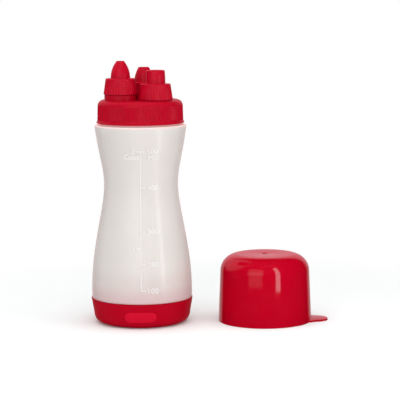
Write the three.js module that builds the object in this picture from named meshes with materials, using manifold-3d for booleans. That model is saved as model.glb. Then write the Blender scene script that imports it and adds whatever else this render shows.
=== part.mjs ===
// Squeeze bottle for batter: a waisted bottle in a soft boot, a ribbed screw lid with one outlet and two
// storage posts, three screw-on nozzles with their washers, and a pull-off cover that stands beside it.
// Millimetres, +Z up. The origin is on the bottle's axis at the underside of the boot. The front is -Y.

import * as THREE from "three";
import { mergeVertices } from "three/addons/utils/BufferGeometryUtils.js";
import Module from "manifold-3d";

// How finely round shapes are divided
const largeFacets = 36;
const smallFacets = 20;
const largeThreadSteps = 24;
const smallThreadSteps = 16;
const bodySteps = 5;
const spoutSteps = 4;
const broadArcSteps = 4;
const smallArcSteps = 2;
const broadArcRadius = 4;

// Clearance of a piece that rests in or on another, and how far joined shapes reach into each other
const seatGap = 0.3;
const joinOverlap = 0.3;

// Body of the bottle: belly, waist and shoulder, and how far the outline runs straight at each
const bellyRadius = 40.65;
const bellyHeight = 27;
const bellyRun = 35;
const waistRadius = 29.9;
const waistHeight = 112;
const waistRunBelow = 18.7;
const waistRunAbove = 15;
const shoulderHeight = 161;
const shoulderRun = 26;
const shoulderLean = 3.4;
const shoulderRound = 1.4;
const bottleWall = 1.5;

// Push-up in the floor of the bottle
const puntRadius = 19.5;
const puntHeight = 28;
const puntRound = 3;

// Threaded neck of the bottle
const neckRadius = 30.5;
const neckWall = 1.8;
const neckThread = { pitch: 4.2, turns: 1.5, depth: 1.2, root: 1.9, crest: 0.9 };
const neckThreadGap = 0.5;

// How far up each thread starts, in pitches: above the shoulder and above the foot of a skirt
const neckThreadStart = 1.2;
const lidThreadStart = 0.7;
const postThreadStart = 1.3;
const skirtThreadStart = 0.8;

// Raised volume marks on the front: heights of the right-hand ticks and of the left-hand ticks
const volumeHeights = [31.4, 52.6, 78.1, 112.8, 141.9];
const cupHeights = [65, 141.9];
const markLineX = 0.65;
const markWidth = 0.7;
const tickLength = 3.8;
const markProud = 0.3;

// Soft boot
const bootHeight = 20.3;
const bootProud = 0.65;
const bootTaper = 2.1;
const bootCorner = 8;
const bootWall = 2;
const bootLipRound = 0.5;
const hubHeight = 12;
const hubWall = 2;

// Bare raised panel on the front of the boot
const panelLength = 25.2;
const panelWidth = 8.4;
const panelHeight = 9.9;
const panelProud = 0.45;

// Screw lid
const lidWall = 1.8;
const lidRoof = 2;
const lidHeight = 18.7;
const lidLift = 1.3;
const lidCorner = 4.9;
const lidInnerCorner = 1.5;
const lidRibs = 120;
const lidRibDepth = 0.45;
const lidTaper = 0.3;
const ribInset = 0.2;
const beadProud = 0.75;
const beadHeight = 2;

// Seal ring under the roof of the lid
const gasketThickness = 1.4;
const gasketWidth = 3.4;

// Threaded necks that carry the nozzles, on the outlet and on both posts
const postRadius = 9.2;
const postWall = 1.5;
const postThread = { pitch: 2.6, turns: 1.25, depth: 0.85, root: 1.1, crest: 0.5 };
const postThreadGap = 0.45;
const collarHeight = 4.2;
const collarInset = 0.65;

// Nozzles: the skirt that all three share
const skirtHeight = 12.9;
const skirtWall = 1;
const skirtFlare = 1.65;
const skirtRound = 0.8;
const skirtRoof = 1.6;
const skirtRibs = 42;
const skirtRibDepth = 0.35;
const nozzleGap = 1.2;
const spoutRadius = 7.85;
const spoutWall = 1.5;
const washerThickness = 1;
const washerWidth = 2.6;
const tipRound = 0.6;

// Each spout: its height, its radius and its bore at the tip, and where the curve of its side is drawn to
const fineHeight = 13.9;
const fineTip = 3.4;
const fineBore = 1.5;
const fineBelly = 7.6;
const fineRun = 8;
const wideHeight = 10.8;
const wideTip = 7.45;
const wideBore = 4.6;
const wideBelly = 7.85;
const wideRun = 5;
const mediumHeight = 12.1;
const mediumTip = 4.5;
const mediumBore = 2.6;
const mediumBelly = 7.5;
const mediumRun = 6.5;

// Directions of the three nozzles on the lid, in degrees from +X
const fineAngle = 201;
const wideAngle = 321;
const mediumAngle = 81;

const fineSpout = { height: fineHeight, tip: fineTip, bore: fineBore, belly: fineBelly, run: fineRun };
const wideSpout = { height: wideHeight, tip: wideTip, bore: wideBore, belly: wideBelly, run: wideRun };
const mediumSpout = {
  height: mediumHeight,
  tip: mediumTip,
  bore: mediumBore,
  belly: mediumBelly,
  run: mediumRun,
};
const nozzles = [
  { name: "fine", angle: fineAngle, raised: true, ...fineSpout },
  { name: "wide", angle: wideAngle, raised: false, ...wideSpout },
  { name: "medium", angle: mediumAngle, raised: false, ...mediumSpout },
];

// Pull-off cover, and how far it stands from the boot
const coverWall = 1.6;
const coverBeadGap = 0.8;
const coverOverhang = 0.8;
const coverHeadroom = 2;
const coverDraft = 1.6;
const coverCorner = 14;
const coverDistance = 21.05;
const gateRadius = 2.2;
const gateDepth = 0.6;
const tabReach = 13.5;
const tabWidth = 20;
const tabThickness = 1.6;
const tabFillet = 5;

// Sizes that follow from those above
const lidBore = neckRadius + neckThread.depth + neckThreadGap;
const lidRadius = lidBore + lidWall + lidRibDepth + ribInset;
const beadRadius = lidRadius + beadProud;
const lidBottom = shoulderHeight + lidLift;
const lidTop = lidBottom + lidHeight;
const lidRoofUnder = lidTop - lidRoof;
const neckTop = lidRoofUnder - gasketThickness - 2 * seatGap;
const coverRimRadius = beadRadius + coverBeadGap + coverWall;
const shoulderRadius = coverRimRadius - coverOverhang;
const bootLipRadius = bellyRadius + bootProud;
const skirtBore = postRadius + postThread.depth + postThreadGap;
const skirtTopRadius = skirtBore + skirtWall + skirtRibDepth + ribInset;
const skirtRadius = skirtTopRadius + skirtFlare;
const nozzleCircle = (2 * skirtRadius + nozzleGap) / Math.sqrt(3);
const postHeight = skirtHeight + seatGap - skirtRoof - washerThickness - 2 * seatGap;
const tallestTip = lidTop + collarHeight + seatGap + skirtHeight + fineHeight;
const coverHeight = tallestTip - shoulderHeight + coverHeadroom + coverWall;
const coverX = bootLipRadius + coverDistance + coverRimRadius;

const quarter = Math.PI / 2;

const wasm = await Module();
wasm.setup();

// A closed three.js geometry as a solid that can be joined and cut.
function solidFrom(geometry) {
  const bare = new THREE.BufferGeometry();
  bare.setAttribute("position", geometry.getAttribute("position"));
  if (geometry.index) bare.setIndex(geometry.index);
  const merged = mergeVertices(bare, 1e-4);
  const corners = merged.index.array;
  const triangles = [];
  for (let i = 0; i < corners.length; i += 3) {
    const [a, b, c] = corners.slice(i, i + 3);
    if (a !== b && b !== c && a !== c) triangles.push(a, b, c);
  }
  const make = (triVerts) =>
    new wasm.Manifold(
      new wasm.Mesh({
        numProp: 3,
        vertProperties: merged.getAttribute("position").array,
        triVerts: new Uint32Array(triVerts),
      }),
    );
  const solid = make(triangles);
  return solid.volume() > 0 ? solid : make(triangles.reverse());
}

// The points along a path: one step on a line, more on an arc, a spout's side or the body's long curves.
function tracePath(path) {
  const points = [path.curves[0].getPoint(0)];
  for (const curve of path.curves) {
    let steps = curve.xRadius > broadArcRadius ? broadArcSteps : smallArcSteps;
    if (curve.isLineCurve) steps = 1;
    if (curve.isQuadraticBezierCurve) steps = spoutSteps;
    if (curve.isCubicBezierCurve) steps = bodySteps;
    for (let i = 1; i <= steps; i++) {
      const point = curve.getPoint(i / steps);
      if (point.distanceTo(points[points.length - 1]) > 1e-3) points.push(point);
    }
  }
  return points;
}

// A solid of revolution about Z from a path in (radius, height) that ends on the axis or closes on itself.
function turned(path, facets) {
  const geometry = new THREE.LatheGeometry(tracePath(path), facets);
  return solidFrom(geometry.rotateX(quarter));
}

// A plain upright disc, used to cut bores.
function disc(radius, from, to, facets) {
  const geometry = new THREE.CylinderGeometry(radius, radius, to - from, facets);
  return solidFrom(geometry.rotateX(quarter).translate(0, 0, (from + to) / 2));
}

// A helical ridge that starts at the given height and fades into its wall at both ends.
// A positive direction stands outwards from the wall, a negative one inwards.
function threadRidge(thread, wallRadius, direction, start, turnSteps) {
  const buried = 0.5;
  const fadeTurns = 0.15;
  const leastDepth = 0.2;
  const section = new THREE.Shape([
    new THREE.Vector2(0, -thread.root / 2),
    new THREE.Vector2(buried + thread.depth, -thread.crest / 2),
    new THREE.Vector2(buried + thread.depth, thread.crest / 2),
    new THREE.Vector2(0, thread.root / 2),
  ]);
  const steps = Math.round(turnSteps * thread.turns);
  const geometry = new THREE.ExtrudeGeometry(section, { depth: thread.turns, steps, bevelEnabled: false });
  const place = geometry.getAttribute("position");
  for (let i = 0; i < place.count; i++) {
    const turn = place.getZ(i);
    const fade = Math.min(1, leastDepth + Math.min(turn, thread.turns - turn) / fadeTurns);
    const radius = wallRadius + direction * (place.getX(i) * fade - buried);
    const angle = turn * 2 * Math.PI;
    const height = start + place.getY(i) + turn * thread.pitch;
    place.setXYZ(i, radius * Math.cos(angle), radius * Math.sin(angle), height);
  }
  return solidFrom(geometry);
}

// A ring with upright ribs round it. Its outside leans in by taper from bottom to top.
function ribbedRing(ribRadius, ribDepth, ribs, innerRadius, from, to, taper) {
  const outline = [];
  for (let i = 0; i < 2 * ribs; i++) {
    const radius = i % 2 ? ribRadius - ribDepth : ribRadius;
    const angle = (i / ribs) * Math.PI;
    outline.push(new THREE.Vector2(radius * Math.cos(angle), radius * Math.sin(angle)));
  }
  const shape = new THREE.Shape(outline);
  const hole = new THREE.Path();
  hole.absarc(0, 0, innerRadius, 0, 2 * Math.PI, true);
  shape.holes.push(hole);
  const height = to - from;
  const options = { depth: height, steps: 1, curveSegments: smallFacets / 2, bevelEnabled: false };
  const geometry = new THREE.ExtrudeGeometry(shape, options);
  const place = geometry.getAttribute("position");
  const middle = (innerRadius + ribRadius - ribDepth) / 2;
  for (let i = 0; i < place.count; i++) {
    const radius = Math.hypot(place.getX(i), place.getY(i));
    if (radius < middle) continue;
    const scale = (radius - (taper * place.getZ(i)) / height) / radius;
    place.setXY(i, place.getX(i) * scale, place.getY(i) * scale);
  }
  return solidFrom(geometry.translate(0, 0, from));
}

// Adds the outline of the body from its foot to the edge of the shoulder, inset by the given distance.
function addBodyOutline(path, inset, from) {
  const belly = bellyRadius - inset;
  const waist = waistRadius - inset;
  const edge = shoulderRadius - inset;
  path.lineTo(belly, from);
  path.lineTo(belly, bellyHeight);
  path.bezierCurveTo(
    belly,
    bellyHeight + bellyRun,
    waist,
    waistHeight - waistRunBelow,
    waist,
    waistHeight,
  );
  path.bezierCurveTo(
    waist,
    waistHeight + waistRunAbove,
    edge - shoulderLean,
    shoulderHeight - shoulderRound - shoulderRun,
    edge,
    shoulderHeight - shoulderRound,
  );
}

// The foot of the boot, or of what stands in it, inset by the given distance: floor, corner and side.
function addFootOutline(path, inset, top) {
  const toe = bootLipRadius - bootTaper;
  const corner = Math.max(bootCorner - inset, 0.5);
  const lean = (bootTaper * (bootHeight - top)) / (bootHeight - bootCorner);
  path.lineTo(toe - inset - corner, inset);
  path.absarc(toe - inset - corner, inset + corner, corner, -quarter, 0, false);
  path.lineTo(bootLipRadius - inset - lean, top);
}

function bottleSolid() {
  const footInset = bootWall + seatGap;
  const seam = bootHeight + seatGap;
  const puntOuter = puntRadius - bottleWall;
  const innerRound = Math.max(shoulderRound - bottleWall, 0.4);
  const mouthRound = neckWall / 3;
  const path = new THREE.Path();

  // Underside of the punt, foot and outside up to the mouth
  path.moveTo(0, puntHeight - bottleWall);
  path.lineTo(puntOuter - puntRound, puntHeight - bottleWall);
  path.absarc(puntOuter - puntRound, puntHeight - bottleWall - puntRound, puntRound, quarter, 0, true);
  path.lineTo(puntOuter, footInset);
  addFootOutline(path, footInset, seam);
  addBodyOutline(path, 0, seam);
  path.absarc(
    shoulderRadius - shoulderRound,
    shoulderHeight - shoulderRound,
    shoulderRound,
    0,
    quarter,
    false,
  );
  path.lineTo(neckRadius, shoulderHeight);
  path.lineTo(neckRadius, neckTop - mouthRound);
  path.lineTo(neckRadius - mouthRound, neckTop);

  // Mouth, inside of the neck, and inside of the body down to the top of the punt
  path.lineTo(neckRadius - neckWall, neckTop);
  path.lineTo(neckRadius - neckWall, shoulderHeight - bottleWall);
  path.lineTo(shoulderRadius - bottleWall - innerRound, shoulderHeight - bottleWall);
  const inside = new THREE.Path();
  inside.moveTo(0, puntHeight);
  inside.lineTo(puntRadius - puntRound, puntHeight);
  inside.absarc(puntRadius - puntRound, puntHeight - puntRound, puntRound, quarter, 0, true);
  inside.lineTo(puntRadius, footInset + bottleWall);
  addFootOutline(inside, footInset + bottleWall, bootHeight - bottleWall);
  addBodyOutline(inside, bottleWall, bootHeight + 2 * bottleWall);
  const back = tracePath(inside).reverse();
  for (const point of back) path.lineTo(point.x, point.y);

  const threadStart = shoulderHeight + neckThread.pitch * neckThreadStart;
  const ridge = threadRidge(neckThread, neckRadius, 1, threadStart, largeThreadSteps);
  return turned(path, largeFacets).add(ridge).add(volumeMarks());
}

// A solid of revolution that follows the outside of the body at a distance, between two heights.
function bodySkin(proud, from, to) {
  const path = new THREE.Path();
  path.moveTo(0, from);
  addBodyOutline(path, -proud, from);
  path.lineTo(0, shoulderHeight - shoulderRound);
  path.lineTo(0, to);
  return turned(path, largeFacets);
}

// One upright line with a tick for each mark, raised on the front of the body.
function volumeMarks() {
  const low = volumeHeights[0];
  const high = volumeHeights[volumeHeights.length - 1];
  const front = new THREE.BoxGeometry(markWidth, bellyRadius, high - low + markWidth);
  let marks = solidFrom(front.translate(markLineX, -bellyRadius, (low + high) / 2));
  const addTick = (height, side) => {
    const tick = new THREE.BoxGeometry(tickLength, bellyRadius, markWidth);
    const x = markLineX + (side * (tickLength - markWidth)) / 2;
    marks = marks.add(solidFrom(tick.translate(x, -bellyRadius, height)));
  };
  for (const height of volumeHeights) addTick(height, 1);
  for (const height of cupHeights) addTick(height, -1);
  const foot = bootHeight + seatGap;
  const within = bodySkin(markProud, foot, shoulderHeight);
  const buried = bodySkin(-bottleWall / 2, foot - joinOverlap, shoulderHeight);
  return marks.intersect(within).subtract(buried);
}

function bootSolid() {
  const hubRadius = puntRadius - bottleWall - seatGap;
  const lip = bootHeight - bootLipRound;
  const path = new THREE.Path();
  path.moveTo(0, 0);
  addFootOutline(path, 0, lip);
  path.lineTo(bootLipRadius - bootLipRound, bootHeight);
  path.lineTo(bootLipRadius - bootWall, bootHeight);
  const inside = new THREE.Path();
  inside.moveTo(0, bootWall);
  inside.lineTo(hubRadius - hubWall, bootWall);
  inside.lineTo(hubRadius - hubWall, bootWall + hubHeight);
  inside.lineTo(hubRadius, bootWall + hubHeight);
  inside.lineTo(hubRadius, bootWall);
  addFootOutline(inside, bootWall, bootHeight);
  const back = tracePath(inside).reverse();
  for (const point of back) path.lineTo(point.x, point.y);
  return turned(path, largeFacets).add(panelSolid());
}

// The space of the boot's outside, made larger or smaller by the given distance.
function bootSkin(proud) {
  const path = new THREE.Path();
  path.moveTo(0, -proud);
  addFootOutline(path, -proud, bootHeight);
  path.lineTo(0, bootHeight);
  return turned(path, largeFacets);
}

function panelSolid() {
  const end = panelWidth / 2;
  const half = panelLength / 2 - end;
  const shape = new THREE.Shape();
  shape.absarc(half, panelHeight, end, -quarter, quarter, false);
  shape.absarc(-half, panelHeight, end, quarter, 3 * quarter, false);
  const options = { depth: bellyRadius, curveSegments: 2 * broadArcSteps, bevelEnabled: false };
  const pill = new THREE.ExtrudeGeometry(shape, options).rotateX(quarter).translate(0, -puntRadius, 0);
  return solidFrom(pill).intersect(bootSkin(panelProud)).subtract(bootSkin(-bootWall / 2));
}

// Centre of a nozzle on the lid.
function nozzlePlace({ angle, raised }) {
  const turn = THREE.MathUtils.degToRad(angle);
  const height = lidTop + (raised ? collarHeight : 0) + seatGap;
  return new THREE.Vector3(nozzleCircle * Math.cos(turn), nozzleCircle * Math.sin(turn), height);
}

function lidSolid() {
  const core = lidBore + lidWall / 2;
  const ribTop = lidTop - lidCorner;
  const topRadius = lidRadius - lidTaper;
  const path = new THREE.Path();
  path.moveTo(0, lidRoofUnder);
  const innerCornerRadius = lidBore - lidInnerCorner;
  path.lineTo(innerCornerRadius, lidRoofUnder);
  path.absarc(innerCornerRadius, lidRoofUnder - lidInnerCorner, lidInnerCorner, quarter, 0, true);
  path.lineTo(lidBore, lidBottom);
  path.lineTo(beadRadius - beadHeight / 4, lidBottom);
  path.lineTo(beadRadius, lidBottom + beadHeight / 4);
  path.lineTo(beadRadius, lidBottom + beadHeight / 2);
  path.lineTo(lidRadius, lidBottom + beadHeight);
  path.lineTo(core, lidBottom + beadHeight);
  path.lineTo(core, ribTop - joinOverlap);
  path.lineTo(topRadius, ribTop - joinOverlap);
  path.absarc(topRadius - lidCorner, ribTop, lidCorner, 0, quarter, false);
  path.lineTo(0, lidTop);

  const ribFrom = lidBottom + beadHeight - joinOverlap;
  const ribCore = core - joinOverlap;
  let lid = turned(path, largeFacets);
  lid = lid.add(ribbedRing(lidRadius - ribInset, lidRibDepth, lidRibs, ribCore, ribFrom, ribTop, lidTaper));
  const threadStart = shoulderHeight + neckThread.pitch * lidThreadStart;
  lid = lid.add(threadRidge(neckThread, lidBore, -1, threadStart, largeThreadSteps));
  for (const nozzle of nozzles) {
    const place = nozzlePlace(nozzle);
    const shift = [place.x, place.y, 0];
    lid = lid.add(postBody(nozzle, place.z).translate(shift));
    lid = lid.subtract(postHollow(nozzle, place.z).translate(shift));
  }
  return lid;
}

// The threaded neck under a nozzle whose skirt starts at the given height, with the outlet's collar.
function postBody({ raised }, skirtBase) {
  const buried = lidRoof / 2;
  const top = skirtBase - seatGap + postHeight;
  const rim = postWall / 3;
  const path = new THREE.Path();
  path.moveTo(0, lidTop - buried);
  if (raised) {
    path.lineTo(skirtRadius - collarInset, lidTop - buried);
    path.lineTo(skirtRadius - collarInset, lidTop + collarHeight);
    path.lineTo(postRadius, lidTop + collarHeight);
  } else {
    path.lineTo(postRadius, lidTop - buried);
  }
  path.lineTo(postRadius, top - rim);
  path.lineTo(postRadius - rim, top);
  path.lineTo(0, top);
  const start = skirtBase + postThread.pitch * postThreadStart;
  return turned(path, smallFacets).add(threadRidge(postThread, postRadius, 1, start, smallThreadSteps));
}

// The bore of the outlet, which is open at its top, or the hollow of a post, which is closed there.
function postHollow({ raised }, skirtBase) {
  const bore = postRadius - postWall;
  const top = skirtBase - seatGap + postHeight;
  const low = lidRoofUnder - lidRoof;
  if (!raised) return disc(bore, low, top - postWall, smallFacets);
  const collarBore = skirtRadius - collarInset - lidWall;
  const hollow = disc(bore, low, top + postWall, smallFacets);
  return hollow.add(disc(collarBore, low, lidTop + collarHeight - lidRoof, smallFacets));
}

// A nozzle on its own axis, with the bottom of its skirt at height 0.
function nozzleSolid({ height, tip, bore, belly, run }) {
  const core = skirtBore + skirtWall / 2;
  const ledge = skirtHeight - skirtRound - joinOverlap;
  const roofUnder = skirtHeight - skirtRoof;
  const inner = spoutRadius - spoutWall;
  const end = skirtHeight + height;
  const spoutRun = skirtHeight + run;
  const path = new THREE.Path();
  path.moveTo(skirtBore, 0);
  path.lineTo(core, 0);
  path.lineTo(core, ledge);
  path.lineTo(skirtTopRadius, ledge);
  path.absarc(skirtTopRadius - skirtRound, skirtHeight - skirtRound, skirtRound, 0, quarter, false);
  path.lineTo(spoutRadius, skirtHeight);
  path.quadraticCurveTo(belly, spoutRun, tip, end - tipRound);
  path.lineTo(tip - tipRound, end);
  path.lineTo(bore, end);
  path.lineTo(inner, skirtHeight);
  path.lineTo(inner, roofUnder);
  path.lineTo(skirtBore, roofUnder);
  path.lineTo(skirtBore, 0);
  const ribs = ribbedRing(
    skirtRadius - ribInset,
    skirtRibDepth,
    skirtRibs,
    (core + skirtBore) / 2,
    0,
    skirtHeight - skirtRound,
    skirtFlare,
  );
  const start = postThread.pitch * skirtThreadStart;
  const ridge = threadRidge(postThread, skirtBore, -1, start, smallThreadSteps);
  return turned(path, smallFacets).add(ribs).add(ridge);
}

// A flat ring with its underside at the given height.
function ringSolid(outerRadius, width, thickness, height, facets) {
  const path = new THREE.Path();
  path.moveTo(outerRadius - width, height);
  path.lineTo(outerRadius, height);
  path.lineTo(outerRadius, height + thickness);
  path.lineTo(outerRadius - width, height + thickness);
  path.lineTo(outerRadius - width, height);
  return turned(path, facets);
}

// The cover on its own axis, mouth down with its rim at height 0 and its pull tab towards +X.
function coverSolid() {
  const side = coverHeight - coverCorner;
  const crown = coverRimRadius - coverDraft;
  const innerCorner = Math.max(coverCorner - coverWall, 0.5);
  const path = new THREE.Path();
  path.moveTo(0, coverHeight - coverWall);
  path.lineTo(crown - coverCorner, coverHeight - coverWall);
  path.absarc(crown - coverCorner, side, innerCorner, quarter, 0, true);
  path.lineTo(coverRimRadius - coverWall, 0);
  path.lineTo(coverRimRadius, 0);
  path.absarc(crown - coverCorner, side, coverCorner, 0, quarter, false);
  path.lineTo(gateRadius, coverHeight);
  path.lineTo(gateRadius / 2, coverHeight - gateDepth);
  path.lineTo(0, coverHeight - gateDepth);
  return turned(path, largeFacets).add(tabSolid());
}

function tabSolid() {
  const half = tabWidth / 2;
  const root = coverRimRadius - coverWall / 2;
  const end = coverRimRadius + tabReach;
  const shape = new THREE.Shape();
  const rootAt = (y) => Math.sqrt(root * root - y * y);
  const wide = half + tabFillet;
  shape.moveTo(rootAt(wide), -wide);
  shape.quadraticCurveTo(rootAt(half) + coverWall, -half, end - half, -half);
  shape.absarc(end - half, 0, half, -quarter, quarter, false);
  shape.quadraticCurveTo(rootAt(half) + coverWall, half, rootAt(wide), wide);
  shape.lineTo(root, 0);
  const options = { depth: tabThickness, curveSegments: 2 * broadArcSteps, bevelEnabled: false };
  return solidFrom(new THREE.ExtrudeGeometry(shape, options));
}

// A named mesh of a solid in its own material.
function pieceMesh(name, solid, colour, roughness) {
  const { vertProperties, triVerts } = solid.getMesh();
  const geometry = new THREE.BufferGeometry();
  geometry.setAttribute("position", new THREE.BufferAttribute(vertProperties, 3));
  geometry.setIndex(new THREE.BufferAttribute(triVerts, 1));
  geometry.computeVertexNormals();
  const material = new THREE.MeshStandardMaterial({ color: colour, roughness, metalness: 0 });
  const mesh = new THREE.Mesh(geometry, material);
  mesh.name = name;
  return mesh;
}

const frosted = 0xe9e0dc;
const glossRed = 0xc00425;
const bootRed = 0xb80322;
const sealGrey = 0xd9d9d6;

const squeezeBottle = new THREE.Group();
const bottleMesh = pieceMesh("bottle", bottleSolid(), frosted, 0.45);
bottleMesh.material.transparent = true;
bottleMesh.material.opacity = 0.85;
squeezeBottle.add(bottleMesh);
squeezeBottle.add(pieceMesh("base_boot", bootSolid(), bootRed, 0.5));
squeezeBottle.add(pieceMesh("lid", lidSolid(), glossRed, 0.35));

const gasketRadius = neckRadius - seatGap;
const gasketHeight = neckTop + seatGap;
const gasket = ringSolid(gasketRadius, gasketWidth, gasketThickness, gasketHeight, largeFacets);
squeezeBottle.add(pieceMesh("lid_gasket", gasket, sealGrey, 0.6));

const washerRadius = postRadius - seatGap;
for (const nozzle of nozzles) {
  const station = new THREE.Group();
  station.position.copy(nozzlePlace(nozzle));
  station.add(pieceMesh("nozzle_" + nozzle.name, nozzleSolid(nozzle), glossRed, 0.35));
  const washer = ringSolid(washerRadius, washerWidth, washerThickness, postHeight, smallFacets);
  station.add(pieceMesh("washer_" + nozzle.name, washer, sealGrey, 0.6));
  squeezeBottle.add(station);
}

const coverMesh = pieceMesh("cover", coverSolid(), glossRed, 0.15);
coverMesh.position.set(coverX, 0, 0);
squeezeBottle.add(coverMesh);

export default squeezeBottle;
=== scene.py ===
import math
import bpy
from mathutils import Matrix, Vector


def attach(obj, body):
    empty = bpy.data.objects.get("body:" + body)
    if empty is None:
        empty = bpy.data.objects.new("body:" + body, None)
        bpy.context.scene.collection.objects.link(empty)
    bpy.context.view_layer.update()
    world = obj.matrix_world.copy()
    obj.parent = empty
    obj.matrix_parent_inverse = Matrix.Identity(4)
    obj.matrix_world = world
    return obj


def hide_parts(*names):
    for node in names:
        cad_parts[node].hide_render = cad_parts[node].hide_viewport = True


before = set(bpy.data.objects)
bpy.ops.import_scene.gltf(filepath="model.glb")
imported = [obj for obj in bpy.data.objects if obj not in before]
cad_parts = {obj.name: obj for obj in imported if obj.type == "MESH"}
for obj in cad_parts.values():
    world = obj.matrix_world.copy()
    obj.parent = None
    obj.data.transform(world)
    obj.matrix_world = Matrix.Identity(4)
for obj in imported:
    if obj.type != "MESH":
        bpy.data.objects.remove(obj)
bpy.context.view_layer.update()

fullTurn = 2 * math.pi
nearAxis = 0.0006         # radius at which a turned outline starts and ends
byALittle = 0.00001       # keeps a middle line out of a selection
perRib = 4                # columns of vertices for each rib
mergeDistance = 0.000002  # closes the seam of a piece that is open in the middle


# Camera that looks down a little, with the bottle left of the middle
camera = {
    "place": (0.0477, -1.384, 0.27242), "tiltDown": 0.1246, "roll": 0.0061, "lens": 154.74, "sensor": 36.0,
}
bpy.ops.object.camera_add(location=camera["place"], rotation=(
    math.pi / 2 - camera["tiltDown"],
    camera["roll"] * math.cos(camera["tiltDown"]),
    -camera["roll"] * math.sin(camera["tiltDown"]),
))
cameraObject = bpy.context.object
cameraObject.name = "camera"
cameraObject.data.lens = camera["lens"]
cameraObject.data.sensor_width = camera["sensor"]
bpy.context.scene.camera = cameraObject
print("camera placed")


# Steps that the pieces share

def deselectAll():
    if bpy.context.object and bpy.context.object.mode != "OBJECT":
        bpy.ops.object.mode_set(mode="OBJECT")
    bpy.ops.object.select_all(action="DESELECT")


def makeActive(piece):
    deselectAll()
    piece.select_set(True)
    bpy.context.view_layer.objects.active = piece


def arc(centreRadius, centreHeight, radius, fromDegrees, toDegrees, steps):
    # points of an arc in (radius, height), from the outward direction at 0 degrees
    points = []
    for i in range(steps + 1):
        angle = math.radians(fromDegrees + (toDegrees - fromDegrees) * i / steps)
        points.append((centreRadius + radius * math.cos(angle), centreHeight + radius * math.sin(angle)))
    return points


def curve(start, startHandle, endHandle, end, steps):
    # points of a cubic curve in (radius, height)
    points = []
    for i in range(steps + 1):
        t = i / steps
        weights = ((1 - t) ** 3, 3 * t * (1 - t) ** 2, 3 * t * t * (1 - t), t ** 3)
        corners = (start, startHandle, endHandle, end)
        points.append(tuple(sum(w * c[axis] for w, c in zip(weights, corners)) for axis in (0, 1)))
    return points


def spaced(outline, least=0.00004):
    # the outline without points that repeat
    kept = [outline[0]]
    for point in outline[1:]:
        if math.dist(point, kept[-1]) > least:
            kept.append(point)
    return kept


def faceOutwards(merge=None):
    # turns all faces of the piece in edit mode outwards, after a merge if asked, and leaves edit mode
    bpy.ops.mesh.select_all(action="SELECT")
    if merge:
        bpy.ops.mesh.remove_doubles(threshold=merge)
    bpy.ops.mesh.normals_make_consistent(inside=False)
    bpy.ops.object.mode_set(mode="OBJECT")


def turnPiece(name, outline, segments, openMiddle=False):
    # a ring is extruded from point to point of an outline that starts and ends near the axis,
    # or, for a piece that is open in the middle, closes on itself
    points = spaced(outline)
    radius, height = points[0]
    fill = "NOTHING" if openMiddle else "NGON"
    deselectAll()
    bpy.ops.mesh.primitive_circle_add(vertices=segments, radius=radius, fill_type=fill, location=(0, 0, 0))
    piece = bpy.context.object
    piece.name = name
    bpy.ops.object.mode_set(mode="EDIT")
    bpy.ops.mesh.select_all(action="SELECT")
    bpy.ops.transform.translate(value=(0, 0, height))
    for nextRadius, nextHeight in points[1:] + (points[:1] if openMiddle else []):
        rise = nextHeight - height
        bpy.ops.mesh.extrude_region_move(TRANSFORM_OT_translate={"value": (0, 0, rise)})
        scale = nextRadius / radius
        bpy.ops.transform.resize(value=(scale, scale, 1), center_override=(0, 0, nextHeight))
        radius, height = nextRadius, nextHeight
    faceOutwards(mergeDistance if openMiddle else None)
    return piece


def selectVertices(piece, wanted):
    # selects the vertices for which wanted(place) holds, and goes to edit mode
    makeActive(piece)
    bpy.context.tool_settings.mesh_select_mode = (True, False, False)
    for face in piece.data.polygons:
        face.select = False
    for edge in piece.data.edges:
        edge.select = False
    for vertex in piece.data.vertices:
        vertex.select = wanted(vertex.co)
    bpy.ops.object.mode_set(mode="EDIT")


def cutRibs(piece, ribs, outsideRadius, bands):
    # rounded ribs: in each band of heights the outside vertices between the crests are drawn in
    total = ribs * perRib

    def column(place):
        return round(math.atan2(place.y, place.x) / fullTurn * total) % perRib

    for low, high, depth in bands:
        def outside(place):
            return low <= place.z <= high and math.hypot(place.x, place.y) > outsideRadius

        crest = max(math.hypot(v.co.x, v.co.y) for v in piece.data.vertices if low <= v.co.z <= high)
        for columns, share in (((1, 3), 0.5), ((2,), 1.0)):
            selectVertices(piece, lambda place: outside(place) and column(place) in columns)
            scale = 1 - share * depth / crest
            bpy.ops.transform.resize(value=(scale, scale, 1), center_override=(0, 0, 0))
            bpy.ops.object.mode_set(mode="OBJECT")


def threadRidge(name, thread, wallRadius, direction, start):
    # a helical ridge that fades into its wall at both ends
    buried = 0.0005
    turnSteps = 72
    fadeTurns = 0.15
    leastDepth = 0.2
    section = (
        (0, -thread["root"] / 2),
        (buried + thread["depth"], -thread["crest"] / 2),
        (buried + thread["depth"], thread["crest"] / 2),
        (0, thread["root"] / 2),
    )
    steps = round(turnSteps * thread["turns"])
    places = []
    for i in range(steps + 1):
        turn = thread["turns"] * i / steps
        fade = min(1, leastDepth + min(turn, thread["turns"] - turn) / fadeTurns)
        for out, up in section:
            radius = wallRadius + direction * (out * fade - buried)
            angle = turn * fullTurn
            height = start + up + turn * thread["pitch"]
            places.append((radius * math.cos(angle), radius * math.sin(angle), height))
    faces = [(0, 1, 2, 3), tuple(4 * steps + k for k in (3, 2, 1, 0))]
    for i in range(steps):
        for k in range(4):
            here, beside = 4 * i + k, 4 * i + (k + 1) % 4
            faces.append((here, here + 4, beside + 4, beside))
    mesh = bpy.data.meshes.new(name)
    mesh.from_pydata(places, [], faces)
    ridge = bpy.data.objects.new(name, mesh)
    bpy.context.scene.collection.objects.link(ridge)
    makeActive(ridge)
    bpy.ops.object.mode_set(mode="EDIT")
    faceOutwards()
    return ridge


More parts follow.
